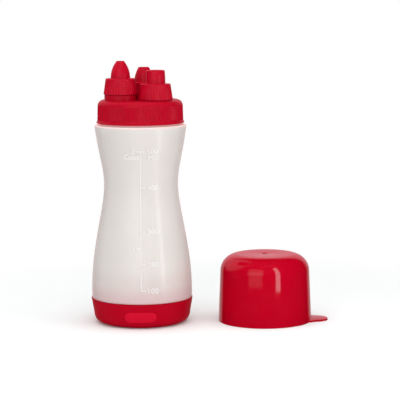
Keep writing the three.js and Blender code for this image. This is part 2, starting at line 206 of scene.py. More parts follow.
def shiftPiece(piece, shift):
    makeActive(piece)
    bpy.ops.object.mode_set(mode="EDIT")
    bpy.ops.mesh.select_all(action="SELECT")
    bpy.ops.transform.translate(value=shift)
    bpy.ops.object.mode_set(mode="OBJECT")


def joinPieces(main, others):
    makeActive(main)
    for other in others:
        other.select_set(True)
    bpy.ops.object.join()
    return main


def combine(piece, tool, operation):
    # joins the two solids, or cuts the tool out of the piece, and removes the tool
    makeActive(piece)
    modifier = piece.modifiers.new("combine", "BOOLEAN")
    modifier.operation = operation
    modifier.solver = "EXACT"
    modifier.object = tool
    bpy.ops.object.modifier_apply(modifier="combine")
    bpy.data.objects.remove(tool)
    return piece


def bevelPiece(piece, width, segments):
    makeActive(piece)
    bevel = piece.modifiers.new("bevel", "BEVEL")
    bevel.width = width
    bevel.segments = segments
    bevel.angle_limit = math.radians(50)
    bpy.ops.object.modifier_apply(modifier="bevel")


def finishPiece(piece, material, body, smoothDegrees=35):
    makeActive(piece)
    bpy.ops.object.shade_smooth_by_angle(angle=math.radians(smoothDegrees))
    piece.data.materials.clear()
    piece.data.materials.append(material)
    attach(piece, body)
    return piece


# Materials

noiseLow, noiseHigh = 0.3, 0.7
redGlowRadius = (0.0016, 0.0003, 0.0003)


def linear(red, green, blue):
    # a colour of 0 to 255 steps as the shader's linear values
    def channel(value):
        share = value / 255
        return share / 12.92 if share <= 0.04045 else ((share + 0.055) / 1.055) ** 2.4
    return (channel(red), channel(green), channel(blue), 1)


def startMaterial(name):
    material = bpy.data.materials.new(name)
    material.use_nodes = True
    nodes = material.node_tree.nodes
    links = material.node_tree.links
    shader = nodes["Principled BSDF"]
    place = nodes.new("ShaderNodeTexCoord")
    return material, nodes, links, shader, place


def addNoise(nodes, links, place, scale, detail):
    noise = nodes.new("ShaderNodeTexNoise")
    noise.inputs["Scale"].default_value = scale
    noise.inputs["Detail"].default_value = detail
    links.new(place.outputs["Object"], noise.inputs["Vector"])
    return noise


def addRange(nodes, links, source, start, end, low=0.0, high=1.0):
    # maps what lies between start and end onto low to high
    mapped = nodes.new("ShaderNodeMapRange")
    for socket, value in (("From Min", start), ("From Max", end), ("To Min", low), ("To Max", high)):
        mapped.inputs[socket].default_value = value
    links.new(source, mapped.inputs["Value"])
    return mapped


def addMath(nodes, links, operation, first, second):
    node = nodes.new("ShaderNodeMath")
    node.operation = operation
    links.new(first, node.inputs[0])
    links.new(second, node.inputs[1])
    return node


def addColourMix(nodes, links, factor):
    mix = nodes.new("ShaderNodeMix")
    mix.data_type = "RGBA"
    links.new(factor, mix.inputs["Factor"])
    return mix


def addGloss(nodes, links, shader, place, look, detail):
    # an uneven gloss from a noise that mostly lies between the two shares
    wear = addNoise(nodes, links, place, look["wearScale"], detail)
    gloss = addRange(nodes, links, wear.outputs["Fac"], noiseLow, noiseHigh, *look["roughness"])
    links.new(gloss.outputs["Result"], shader.inputs["Roughness"])


def addSkin(nodes, links, shader, place, look, detail):
    # a fine bump all over
    skin = addNoise(nodes, links, place, look["skinScale"], detail)
    bump = nodes.new("ShaderNodeBump")
    bump.inputs["Distance"].default_value = look["skinDepth"]
    bump.inputs["Strength"].default_value = look["skinStrength"]
    links.new(skin.outputs["Fac"], bump.inputs["Height"])
    links.new(bump.outputs["Normal"], shader.inputs["Normal"])


def mouldedPlastic(name, look):
    # coloured plastic: a slight drift of colour, an uneven gloss and a fine skin
    material, nodes, links, shader, place = startMaterial(name)
    drift = addNoise(nodes, links, place, look["driftScale"], 2)
    mix = addColourMix(nodes, links, drift.outputs["Fac"])
    mix.inputs["A"].default_value = linear(*look["colour"])
    mix.inputs["B"].default_value = linear(*look["deepColour"])
    links.new(mix.outputs["Result"], shader.inputs["Base Color"])
    addGloss(nodes, links, shader, place, look, 4)
    addSkin(nodes, links, shader, place, look, 3)
    shader.inputs["IOR"].default_value = look["ior"]
    shader.inputs["Specular IOR Level"].default_value = look["specular"]
    shader.inputs["Subsurface Weight"].default_value = look["glow"]
    shader.inputs["Subsurface Radius"].default_value = redGlowRadius
    shader.inputs["Subsurface Scale"].default_value = 1.0
    return material


coverPlastic = mouldedPlastic("cover_plastic", {
    "colour": (186, 2, 33), "deepColour": (178, 1, 27), "driftScale": 30,
    "roughness": (0.065, 0.11), "wearScale": 90,
    "skinScale": 140, "skinDepth": 0.00004, "skinStrength": 0.25,
    "ior": 1.5, "specular": 0.5, "glow": 0.05,
})
lidPlastic = mouldedPlastic("lid_plastic", {
    "colour": (189, 0, 36), "deepColour": (179, 0, 30), "driftScale": 40,
    "roughness": (0.285, 0.34), "wearScale": 140,
    "skinScale": 500, "skinDepth": 0.00001, "skinStrength": 0.1,
    "ior": 1.5, "specular": 0.14, "glow": 0.05,
})
nozzlePlastic = mouldedPlastic("nozzle_plastic", {
    "colour": (197, 0, 40), "deepColour": (187, 0, 34), "driftScale": 60,
    "roughness": (0.285, 0.34), "wearScale": 200,
    "skinScale": 500, "skinDepth": 0.00001, "skinStrength": 0.1,
    "ior": 1.5, "specular": 0.2, "glow": 0.05,
})
bootRubber = mouldedPlastic("boot_rubber", {
    "colour": (184, 0, 32), "deepColour": (175, 0, 27), "driftScale": 35,
    "roughness": (0.38, 0.48), "wearScale": 120,
    "skinScale": 500, "skinDepth": 0.00003, "skinStrength": 0.15,
    "ior": 1.48, "specular": 0.04, "glow": 0.05,
})
panelRubber = mouldedPlastic("panel_rubber", {
    "colour": (208, 16, 48), "deepColour": (202, 13, 43), "driftScale": 90,
    "roughness": (0.5, 0.6), "wearScale": 200,
    "skinScale": 500, "skinDepth": 0.00003, "skinStrength": 0.15,
    "ior": 1.48, "specular": 0.04, "glow": 0.05,
})
sealSilicone = mouldedPlastic("seal_silicone", {
    "colour": (224, 224, 220), "deepColour": (212, 212, 207), "driftScale": 120,
    "roughness": (0.5, 0.62), "wearScale": 200,
    "skinScale": 1200, "skinDepth": 0.00004, "skinStrength": 0.3,
    "ior": 1.42, "specular": 0.4, "glow": 0.1,
})


def frostedPlastic(name, look):
    # milky plastic that lets light through, with painted pink light where the red pieces shine into it
    material, nodes, links, shader, place = startMaterial(name)
    split = nodes.new("ShaderNodeSeparateXYZ")
    links.new(place.outputs["Object"], split.inputs["Vector"])
    # the colour ramp along the height carries the painted pink light near the seam and the lid
    along = addRange(nodes, links, split.outputs["Z"], look["low"], look["high"])
    ramp = nodes.new("ShaderNodeValToRGB")
    ramp.color_ramp.interpolation = "EASE"
    stops = look["stops"]
    while len(ramp.color_ramp.elements) < len(stops):
        ramp.color_ramp.elements.new(0.5)
    for element, (stop, colour) in zip(ramp.color_ramp.elements, stops):
        element.position = (stop - look["low"]) / (look["high"] - look["low"])
        element.color = linear(*colour)
    links.new(along.outputs["Result"], ramp.inputs["Fac"])
    cloud = addNoise(nodes, links, place, look["cloudScale"], 2)
    shade = addColourMix(nodes, links, cloud.outputs["Fac"])
    shade.blend_type = "MULTIPLY"
    shade.inputs["B"].default_value = linear(*look["cloudColour"])
    links.new(ramp.outputs["Color"], shade.inputs["A"])
    links.new(shade.outputs["Result"], shader.inputs["Base Color"])
    addGloss(nodes, links, shader, place, look, 3)
    addSkin(nodes, links, shader, place, look, 2)
    shader.inputs["IOR"].default_value = look["ior"]
    shader.inputs["Specular IOR Level"].default_value = look["specular"]
    shader.inputs["Subsurface Weight"].default_value = look["glow"]
    shader.inputs["Subsurface Radius"].default_value = look["glowRadius"]
    # painted glow: an emission in a band of heights stands in for light that comes through the wall
    height, level = split.outputs["Z"], look["paintedGlowLevel"]
    through = addRange(nodes, links, height, look["paintedGlowFrom"], look["paintedGlowTo"], 0.0, level)
    fadeEnd = look["paintedGlowEnd"] + look["paintedGlowFade"]
    above = addRange(nodes, links, height, look["paintedGlowEnd"], fadeEnd, 1.0, 0.0)
    band = addMath(nodes, links, "MULTIPLY", through.outputs["Result"], above.outputs["Result"])
    links.new(band.outputs["Value"], shader.inputs["Emission Strength"])
    shader.inputs["Emission Color"].default_value = linear(*look["paintedGlowColour"])
    shader.inputs["Subsurface Scale"].default_value = 1.0
    return material


bottlePlastic = frostedPlastic("frosted_bottle", {
    "low": 0.018, "high": 0.163,
    # painted pink light: from the red boot near the seam and from the red lid at the top of the shoulder
    "stops": (
        (0.0185, (231, 176, 180)), (0.024, (229, 201, 200)), (0.036, (233, 218, 213)),
        (0.05, (237, 227, 221)), (0.135, (239, 229, 223)), (0.158, (239, 228, 222)),
        (0.1605, (243, 222, 218)),
    ),
    "cloudScale": 16, "cloudColour": (246, 244, 243),
    "roughness": (0.19, 0.24), "wearScale": 60,
    "skinScale": 300, "skinDepth": 0.00003, "skinStrength": 0.08,
    "ior": 1.5, "specular": 0.5, "glow": 0.55, "glowRadius": (0.006, 0.005, 0.0045),
    # painted glow that lights the shaded neck in the gap under the lid
    "paintedGlowFrom": 0.1598, "paintedGlowTo": 0.1612, "paintedGlowEnd": 0.1642, "paintedGlowFade": 0.001,
    "paintedGlowLevel": 0.33, "paintedGlowColour": (250, 205, 200),
})
markPlastic = frostedPlastic("mark_plastic", {
    "low": 0.018, "high": 0.163,
    "stops": ((0.0185, (250, 246, 244)), (0.1605, (250, 246, 244))),
    "cloudScale": 60, "cloudColour": (252, 251, 250),
    "roughness": (0.4, 0.5), "wearScale": 90,
    "skinScale": 1500, "skinDepth": 0.00002, "skinStrength": 0.2,
    "ior": 1.5, "specular": 0.35, "glow": 0.3, "glowRadius": (0.003, 0.0028, 0.0026),
    # painted glow: an even faint emission over the whole height of the marks
    "paintedGlowFrom": -0.02, "paintedGlowTo": -0.01, "paintedGlowEnd": 0.17, "paintedGlowFade": 0.001,
    "paintedGlowLevel": 0.05, "paintedGlowColour": (255, 252, 250),
})
print("materials made")


# Bottle: foot in the boot, push-up, belly, waist, shoulder and threaded neck

bottle = {
    "bellyRadius": 0.04065, "bellyHeight": 0.027, "bellyRun": 0.035,
    "waistRadius": 0.0299, "waistHeight": 0.112, "runBelow": 0.0187, "runAbove": 0.015,
    "shoulderRadius": 0.037, "shoulderHeight": 0.161, "shoulderRun": 0.026, "shoulderLean": 0.0034,
    "shoulderRound": 0.0014, "shoulderInset": 0.0008, "wall": 0.0015,
    "puntRadius": 0.0195, "puntHeight": 0.028, "puntRound": 0.003, "heelRound": 0.001,
    "neckRadius": 0.0305, "neckWall": 0.0018, "neckTop": 0.177, "neckRound": 0.0006, "neckBevel": 0.0005,
    "footInset": 0.0023, "seam": 0.0206, "seamRound": 0.0004, "seamStep": 0.0006, "seamRise": 0.001,
    "threadStart": 1.2, "segments": 160,
}
neckThread = {"pitch": 0.0042, "turns": 1.5, "depth": 0.0012, "root": 0.0019, "crest": 0.0009}
boot = {
    "lipRadius": 0.0412, "taper": 0.0021, "corner": 0.008, "height": 0.0203, "wall": 0.002,
    "lipRound": 0.0005, "lipBevel": 0.0003, "lipDrop": 0.0004,
    "hubRadius": 0.0177, "hubWall": 0.002, "hubHeight": 0.012, "segments": 160,
}


def bodyOutline(inset, low):
    # from the seam up the belly, the waist and to the edge of the shoulder
    belly = bottle["bellyRadius"] - inset
    waist = bottle["waistRadius"] - inset
    edge = bottle["shoulderRadius"] - inset
    edgeHeight = bottle["shoulderHeight"] - bottle["shoulderRound"]
    lower = curve(
        (belly, bottle["bellyHeight"]), (belly, bottle["bellyHeight"] + bottle["bellyRun"]),
        (waist, bottle["waistHeight"] - bottle["runBelow"]), (waist, bottle["waistHeight"]), 26,
    )
    upper = curve(
        (waist, bottle["waistHeight"]), (waist, bottle["waistHeight"] + bottle["runAbove"]),
        (edge - bottle["shoulderLean"], edgeHeight - bottle["shoulderRun"]), (edge, edgeHeight), 18,
    )
    return [(belly, low)] + lower + upper


def footOutline(inset, top):
    # floor, corner and side of the boot, or of what stands in it
    toe = boot["lipRadius"] - boot["taper"]
    corner = boot["corner"] - inset
    lean = boot["taper"] * (boot["height"] - top) / (boot["height"] - boot["corner"])
    corners = arc(toe - boot["corner"], boot["corner"], corner, -90, 0, 10)
    return corners + [(boot["lipRadius"] - inset - lean, top)]


def radiusAt(points, height, otherwise):
    # radius of an outline at a height
    for (lowRadius, low), (highRadius, high) in zip(points, points[1:]):
        if low <= height <= high and high > low:
            return lowRadius + (highRadius - lowRadius) * (height - low) / (high - low)
    return otherwise


def bottleRadiusAt(height):
    return radiusAt(bodyOutline(0, bottle["seam"]), height, bottle["bellyRadius"])


def bootRadiusAt(height):
    return radiusAt(footOutline(0, boot["height"]), height, boot["lipRadius"])


def makeBottle():
    puntOuter = bottle["puntRadius"] - bottle["wall"]
    puntUnder = bottle["puntHeight"] - bottle["wall"]
    seamInner = boot["lipRadius"] - bottle["footInset"]
    neckOuter = bottle["neckRadius"]
    neckInner = neckOuter - bottle["neckWall"]
    rim = bottle["neckWall"] / 3
    shoulder = bottle["shoulderHeight"]
    puntRound, heel, seamRound = bottle["puntRound"], bottle["heelRound"], bottle["seamRound"]
    shoulderRound, neckRound, neckBevel = bottle["shoulderRound"], bottle["neckRound"], bottle["neckBevel"]
    outline = [(nearAxis, puntUnder)]
    outline += arc(puntOuter - puntRound, puntUnder - puntRound, puntRound, 90, 0, 6)
    outline += arc(puntOuter + heel, bottle["footInset"] + heel, heel, 180, 270, 4)
    outline += footOutline(bottle["footInset"], bottle["seam"])
    outline += [(seamInner + bottle["seamStep"], bottle["seam"])]
    outline += arc(bottle["bellyRadius"] - seamRound, bottle["seam"] + seamRound, seamRound, -90, 0, 3)
    outline += bodyOutline(0, bottle["seam"] + bottle["seamRise"])
    edge = bottle["shoulderRadius"] - shoulderRound
    outline += arc(edge, shoulder - shoulderRound, shoulderRound, 0, 90, 7)
    outline += arc(neckOuter + neckRound, shoulder + neckRound, neckRound, 270, 180, 4)
    outline += arc(neckOuter - rim, bottle["neckTop"] - rim, rim, 0, 90, 5)
    outline += [(neckInner + rim / 2, bottle["neckTop"]), (neckInner, bottle["neckTop"] - rim / 2)]
    shoulderUnder = shoulder - bottle["wall"]
    outline += [(neckInner, shoulderUnder + neckBevel), (neckInner + neckBevel, shoulderUnder)]
    inside = [(nearAxis, bottle["puntHeight"])]
    inside += arc(bottle["puntRadius"] - puntRound, bottle["puntHeight"] - puntRound, puntRound, 90, 0, 6)
    floor = bottle["footInset"] + bottle["wall"]
    inside += arc(bottle["puntRadius"] + heel, floor + heel, heel, 180, 270, 4)
    inside += footOutline(floor, boot["height"] - bottle["wall"])
    inside += bodyOutline(bottle["wall"], boot["height"] + 2 * bottle["wall"])
    inside += [(bottle["shoulderRadius"] - bottle["wall"] - bottle["shoulderInset"], shoulderUnder)]
    outline += inside[::-1]
    piece = turnPiece("bottle_frosted", outline, bottle["segments"])
    start = shoulder + neckThread["pitch"] * bottle["threadStart"]
    ridge = threadRidge("neck_thread", neckThread, neckOuter, 1, start)
    joinPieces(piece, [ridge])
    finishPiece(piece, bottlePlastic, "bottle_body", 40)
    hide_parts("bottle")
    piece.visible_glossy = False


makeBottle()
print("bottle made")


# Raised volume marks: a line with ticks, numbers and units on the front of the bottle

marks = {
    "lineX": 0.00065, "width": 0.00062, "tick": 0.0038, "proud": 0.0003, "sunk": 0.0003,
    "volumes": ((0.0314, "100"), (0.0526, "200"), (0.0781, "300"), (0.1128, "400"), (0.1419, "500")),
    "cups": ((0.065, "1"), (0.1419, "2")),
    "digitHeight": 0.0042, "numberLeft": 0.0063, "numberWidth": 0.0082,
    "unitDrop": 0.0046, "unitLeft": 0.0071, "unitWidth": 0.0072, "unitHeight": 0.0039, "millilitres": "ML",
    "cupNumberX": -0.0049, "cupWord": "Cups", "cupLeft": -0.0121, "cupWidth": 0.0117, "cupHeight": 0.0056,
    "cupDrop": 0.0049, "typeSize": 0.006, "typeSpread": 0.00006, "lineCuts": 40,
}


def wrapPiece(piece, radiusAtHeight):
    # x runs round the surface, z up it, and y into it
    sideLimit = 0.99
    for vertex in piece.data.vertices:
        x, inward, height = vertex.co
        radius = radiusAtHeight(height)
        angle = math.asin(max(-sideLimit, min(sideLimit, x / radius)))
        reach = radius - inward
        vertex.co = (reach * math.sin(angle), -reach * math.cos(angle), height)


def markBar(name, centre, width, height, cuts):
    # a bar that stands on the surface, cut across so that it can follow the outline
    deselectAll()
    middle = (marks["sunk"] - marks["proud"]) / 2
    bpy.ops.mesh.primitive_cube_add(size=1, location=(centre[0], middle, centre[1]))
    bar = bpy.context.object
    bar.name = name
    bar.scale = (width, marks["sunk"] + marks["proud"], height)
    bpy.ops.object.transform_apply(location=True, rotation=True, scale=True)
    bpy.ops.object.mode_set(mode="EDIT")
    for i in range(1, cuts):
        bpy.ops.mesh.select_all(action="SELECT")
        level = centre[1] - height / 2 + height * i / cuts
        bpy.ops.mesh.bisect(plane_co=(0, 0, level), plane_no=(0, 0, 1))
    bpy.ops.object.mode_set(mode="OBJECT")
    return bar


def markText(name, words, left, width, middleHeight, height):
    # words as a solid of the given width and height, or centred at left where no width is given
    deselectAll()
    bpy.ops.object.text_add(location=(0, 0, 0), rotation=(math.pi / 2, 0, 0))
    text = bpy.context.object
    text.name = name
    text.data.body = words
    text.data.size = marks["typeSize"]
    text.data.extrude = (marks["sunk"] + marks["proud"]) / 2
    text.data.offset = marks["typeSpread"]
    text.data.resolution_u = 3
    bpy.ops.object.convert(target="MESH")
    bpy.ops.object.transform_apply(location=True, rotation=True, scale=True)
    piece = bpy.context.object
    xs = [v.co.x for v in piece.data.vertices]
    zs = [v.co.z for v in piece.data.vertices]
    scaleZ = height / (max(zs) - min(zs))
    scaleX = width / (max(xs) - min(xs)) if width else scaleZ
    shiftX = left - min(xs) * scaleX
    if not width:
        shiftX = left - (max(xs) + min(xs)) / 2 * scaleX
    shiftZ = middleHeight - (max(zs) + min(zs)) / 2 * scaleZ
    inward = (marks["sunk"] - marks["proud"]) / 2
    for vertex in piece.data.vertices:
        x, y, z = vertex.co
        vertex.co = (x * scaleX + shiftX, y + inward, z * scaleZ + shiftZ)
    return piece


def makeMarks():
    low = marks["volumes"][0][0]
    high = marks["volumes"][-1][0]
    span = high - low + marks["width"]
    middle = (marks["lineX"], (low + high) / 2)
    pieces = [markBar("mark_line", middle, marks["width"], span, marks["lineCuts"])]
    half = (marks["tick"] - marks["width"]) / 2
    digit = marks["digitHeight"]
    for height, words in marks["volumes"]:
        centre = (marks["lineX"] + half, height)
        pieces.append(markBar("tick_" + words, centre, marks["tick"], marks["width"], 1))
        pieces.append(markText(
            "number_" + words, words, marks["numberLeft"], marks["numberWidth"], height, digit,
        ))
    for height, words in marks["cups"]:
        centre = (marks["lineX"] - half, height)
        pieces.append(markBar("cup_tick_" + words, centre, marks["tick"], marks["width"], 1))
        pieces.append(markText("cup_number_" + words, words, marks["cupNumberX"], None, height, digit))
    pieces.append(markText(
        "millilitres", marks["millilitres"], marks["unitLeft"], marks["unitWidth"],
        high - marks["unitDrop"], marks["unitHeight"],
    ))
    pieces.append(markText(
        "cup_word", marks["cupWord"], marks["cupLeft"], marks["cupWidth"],
        high - marks["cupDrop"], marks["cupHeight"],
    ))
    for piece in pieces:
        wrapPiece(piece, bottleRadiusAt)
    allMarks = joinPieces(pieces[0], pieces[1:])
    allMarks.name = "volume_marks"
    finishPiece(allMarks, markPlastic, "bottle_body")


makeMarks()
print("marks made")


# Boot, with a bare raised panel on its front

panel = {
    "length": 0.0252, "width": 0.0084, "height": 0.0099, "proud": 0.00045, "sunk": 0.0006,
    "edge": 0.00018, "segments": 64, "halfCuts": 10,
}


def makeBoot():
    lip = boot["height"] - boot["lipRound"]
    lipInner = boot["lipRadius"] - boot["wall"]
    hubInner = boot["hubRadius"] - boot["hubWall"]
    hubTop = boot["wall"] + boot["hubHeight"]
    outline = [(nearAxis, 0)]
    outline += footOutline(0, lip)
    outline += arc(boot["lipRadius"] - boot["lipRound"], lip, boot["lipRound"], 0, 90, 5)
    outline += [(lipInner + boot["lipBevel"], boot["height"]), (lipInner, boot["height"] - boot["lipBevel"])]
    inside = [(nearAxis, boot["wall"]), (hubInner, boot["wall"])]
    inside += [(hubInner, hubTop), (boot["hubRadius"], hubTop), (boot["hubRadius"], boot["wall"])]
    inside += footOutline(boot["wall"], boot["height"] - boot["lipDrop"])
    outline += inside[::-1]
    piece = turnPiece("boot_soft", outline, boot["segments"])
    finishPiece(piece, bootRubber, "bottle_body")
    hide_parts("base_boot")


def makePanel():
    # a pill lying on the boot: a disc with its halves moved apart
    end = panel["width"] / 2
    reach = panel["length"] / 2 - end
    deselectAll()
    bpy.ops.mesh.primitive_circle_add(
        vertices=panel["segments"], radius=end, fill_type="NGON", location=(0, 0, 0),
        rotation=(math.pi / 2, 0, 0),
    )
    piece = bpy.context.object
    piece.name = "boot_panel"
    bpy.ops.object.transform_apply(location=True, rotation=True, scale=True)
    for side in (-1, 1):
        selectVertices(piece, lambda place: side * place.x > byALittle)
        bpy.ops.transform.translate(value=(side * reach, 0, 0))
        bpy.ops.object.mode_set(mode="OBJECT")
    makeActive(piece)
    bpy.ops.object.mode_set(mode="EDIT")
    cuts = panel["halfCuts"]
    for i in range(-cuts, cuts + 1):
        bpy.ops.mesh.select_all(action="SELECT")
        bpy.ops.mesh.bisect(plane_co=(reach * i / cuts, 0, 0), plane_no=(1, 0, 0))
    bpy.ops.mesh.select_all(action="SELECT")
    bpy.ops.transform.translate(value=(0, panel["sunk"], panel["height"]))
    depth = panel["sunk"] + panel["proud"]
    bpy.ops.mesh.extrude_region_move(TRANSFORM_OT_translate={"value": (0, -depth, 0)})
    faceOutwards()
    bevelPiece(piece, panel["edge"], 3)
    wrapPiece(piece, bootRadiusAt)
    finishPiece(piece, panelRubber, "bottle_body", 50)


makeBoot()
makePanel()
print("boot made")


# Screw lid with its outlet and storage posts

lid = {
    "bottom": 0.1623, "height": 0.0187, "radius": 0.03465, "taper": 0.0003, "bore": 0.0322, "roof": 0.002,
    "corner": 0.0049, "innerCorner": 0.0015, "beadProud": 0.00075, "beadHeight": 0.002, "beadRound": 0.0007,
    "beadStep": 0.0001, "mouthBevel": 0.0003, "threadStart": 0.7,
    "ribs": 120, "ribDepth": 0.00045, "ribReach": 0.0018, "ribLift": 0.0002, "ribStart": 0.0003,
    "ribDrop": 0.0006, "fadeFrom": 0.0003, "fadeTo": 0.0022, "fadeShares": (0.7, 0.3),
}
post = {
    "radius": 0.0092, "wall": 0.0015, "height": 0.01, "collarHeight": 0.0042, "collarInset": 0.00065,
    "collarRound": 0.0004, "fillet": 0.0002, "cutPast": 0.001, "threadStart": 1.3, "segments": 96,
}
postThread = {"pitch": 0.0026, "turns": 1.25, "depth": 0.00085, "root": 0.0011, "crest": 0.0005}
seatGap = 0.0003
skirt = {
    "height": 0.0129, "bore": 0.0105, "topRadius": 0.01205, "radius": 0.0137, "round": 0.0008,
    "roof": 0.0016, "bevel": 0.0003, "foot": 0.0004, "threadStart": 0.8,
    "ribs": 42, "ribDepth": 0.00036, "ribReach": 0.0009, "ribMargin": 0.0002, "ribDrop": 0.0003,
    "spoutRadius": 0.00785, "spoutWall": 0.0015, "fillet": 0.0005,
}
nozzleCircle = 0.016512
nozzles = (
    {"name": "fine", "angle": 201, "raised": True, "height": 0.0139, "tip": 0.0034, "bore": 0.0015,
     "belly": 0.0076, "run": 0.008, "tipRound": 0.0006},
    {"name": "wide", "angle": 321, "raised": False, "height": 0.0108, "tip": 0.00745, "bore": 0.0046,
     "belly": 0.00785, "run": 0.005, "tipRound": 0.0009},
    {"name": "medium", "angle": 81, "raised": False, "height": 0.0121, "tip": 0.0045, "bore": 0.0026,
     "belly": 0.0075, "run": 0.0065, "tipRound": 0.0006},
)
lidTop = lid["bottom"] + lid["height"]


def nozzlePlace(nozzle):
    turn = math.radians(nozzle["angle"])
    height = lidTop + (post["collarHeight"] if nozzle["raised"] else 0) + seatGap
    return Vector((nozzleCircle * math.cos(turn), nozzleCircle * math.sin(turn), height))


def makeLid():
    topRadius = lid["radius"] - lid["taper"]
    ribTop = lidTop - lid["corner"]
    beadTop = lid["bottom"] + lid["beadHeight"]
    beadRadius = lid["radius"] + lid["beadProud"]
    roofUnder = lidTop - lid["roof"]
    innerCorner, beadRound, mouthBevel = lid["innerCorner"], lid["beadRound"], lid["mouthBevel"]
    outline = [(nearAxis, roofUnder)]
    outline += arc(lid["bore"] - innerCorner, roofUnder - innerCorner, innerCorner, 90, 0, 4)
    outline += [(lid["bore"], lid["bottom"] + mouthBevel), (lid["bore"] + mouthBevel, lid["bottom"])]
    outline += arc(beadRadius - beadRound, lid["bottom"] + beadRound, beadRound, -90, 40, 6)
    outline += [(lid["radius"] + lid["beadStep"], beadTop - lid["beadStep"])]
    ribLow = beadTop + lid["ribLift"]
    ribHigh = ribTop - lid["ribDrop"]
    for share in (0, 0.05, 0.2, 0.4, 0.6, 0.8, 0.95, 1):
        height = ribLow + (ribHigh - ribLow) * share
        outline.append((lid["radius"] - lid["taper"] * share, height))
    outline += arc(topRadius - lid["corner"], ribTop, lid["corner"], 0, 90, 12)
    outline += [(nearAxis, lidTop)]
    piece = turnPiece("lid_ribbed", outline, lid["ribs"] * perRib)
    depth = lid["ribDepth"]
    fadeFrom, fadeTo = ribTop + lid["fadeFrom"], ribTop + lid["fadeTo"]
    fadeMiddle = (fadeFrom + fadeTo) / 2
    firstShare, lastShare = lid["fadeShares"]
    cutRibs(piece, lid["ribs"], lid["radius"] - lid["ribReach"], (
        (ribLow + lid["ribStart"], fadeFrom, depth), (fadeFrom, fadeMiddle, firstShare * depth),
        (fadeMiddle, fadeTo, lastShare * depth),
    ))
    for nozzle in nozzles:
        piece = addPost(piece, nozzle)
    start = bottle["shoulderHeight"] + neckThread["pitch"] * lid["threadStart"]
    joinPieces(piece, [threadRidge("lid_thread", neckThread, lid["bore"], -1, start)])
    finishPiece(piece, lidPlastic, "lid_body", 40)
    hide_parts("lid")


def addPost(piece, nozzle):
    # the outlet with its collar, or a closed post, joined to the roof and cored out from below
    place = nozzlePlace(nozzle)
    low = lidTop - lid["roof"] / 2
    top = place.z - seatGap + post["height"]
    rim = post["wall"] / 3
    collar = skirt["radius"] - post["collarInset"]
    collarTop = lidTop + post["collarHeight"]
    collarRound = post["collarRound"]
    outline = [(nearAxis, low)]
    if nozzle["raised"]:
        outline += [(collar, low), (collar, lidTop)]
        outline += arc(collar - collarRound, collarTop - collarRound, collarRound, 0, 90, 4)
        outline += [(post["radius"] + post["fillet"], collarTop)]
    outline += [(post["radius"], collarTop + post["fillet"] if nozzle["raised"] else low)]
    outline += arc(post["radius"] - rim, top - rim, rim, 0, 90, 4)
    outline += [(nearAxis, top)]
    body = turnPiece("post_" + nozzle["name"], outline, post["segments"])
    shiftPiece(body, (place.x, place.y, 0))
    piece = combine(piece, body, "UNION")
    bore = post["radius"] - post["wall"]
    hollowLow = lidTop - lid["roof"] - post["cutPast"]
    hollowTop = top + post["cutPast"] if nozzle["raised"] else top - post["wall"]
    hollow = [(nearAxis, hollowLow), (bore, hollowLow), (bore, hollowTop), (nearAxis, hollowTop)]
    core = turnPiece("core_" + nozzle["name"], hollow, post["segments"])
    shiftPiece(core, (place.x, place.y, 0))
    piece = combine(piece, core, "DIFFERENCE")
    start = place.z + postThread["pitch"] * post["threadStart"]
    ridge = threadRidge("post_thread_" + nozzle["name"], postThread, post["radius"], 1, start)
    shiftPiece(ridge, (place.x, place.y, 0))
    return joinPieces(piece, [ridge])


makeLid()
print("lid made")


# Nozzles: a ribbed skirt and a spout

def makeNozzle(nozzle):
    height = skirt["height"]
    end = height + nozzle["height"]
    inner = skirt["spoutRadius"] - skirt["spoutWall"]
    tipRound = nozzle["tipRound"]
    bevel, foot, fillet, margin = skirt["bevel"], skirt["foot"], skirt["fillet"], skirt["ribMargin"]
    outline = [(skirt["bore"], bevel), (skirt["bore"] + bevel, 0)]
    outline += [(skirt["radius"] - foot, 0), (skirt["radius"], foot)]
    ribHigh = height - skirt["round"] - skirt["ribDrop"]
    flare = skirt["radius"] - skirt["topRadius"]
    for share in (0.06, 0.3, 0.6, 0.9, 1):
        outline.append((skirt["radius"] - flare * share, foot + (ribHigh - foot) * share))
    outline += arc(skirt["topRadius"] - skirt["round"], height - skirt["round"], skirt["round"], 0, 90, 6)
    outline += arc(skirt["spoutRadius"] + fillet, height + fillet, fillet, 270, 180, 4)
    outline += curve(
        (skirt["spoutRadius"], height + fillet),
        ((skirt["spoutRadius"] + 2 * nozzle["belly"]) / 3, height + 2 / 3 * nozzle["run"]),
        ((nozzle["tip"] + 2 * nozzle["belly"]) / 3, (end - tipRound + 2 * (height + nozzle["run"])) / 3),
        (nozzle["tip"], end - tipRound), 16,
    )
    outline += arc(nozzle["tip"] - tipRound, end - tipRound, tipRound, 15, 90, 6)
    outline += [(nozzle["bore"] + bevel, end), (nozzle["bore"], end - bevel), (inner, height)]
    outline += [(inner, height - skirt["roof"]), (skirt["bore"], height - skirt["roof"])]
    piece = turnPiece("nozzle_" + nozzle["name"] + "_ribbed", outline, skirt["ribs"] * perRib, True)
    band = (margin, ribHigh - margin, skirt["ribDepth"])
    cutRibs(piece, skirt["ribs"], skirt["bore"] + skirt["ribReach"], (band,))
    start = postThread["pitch"] * skirt["threadStart"]
    joinPieces(piece, [threadRidge("skirt_thread_" + nozzle["name"], postThread, skirt["bore"], -1, start)])
    shiftPiece(piece, nozzlePlace(nozzle))
    finishPiece(piece, nozzlePlastic, nozzle["name"] + "_nozzle_body", 40)
    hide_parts("nozzle_" + nozzle["name"])


for nozzle in nozzles:
    makeNozzle(nozzle)
print("nozzles made")


# Cover that stands beside the bottle, with its pull tab and gate mark

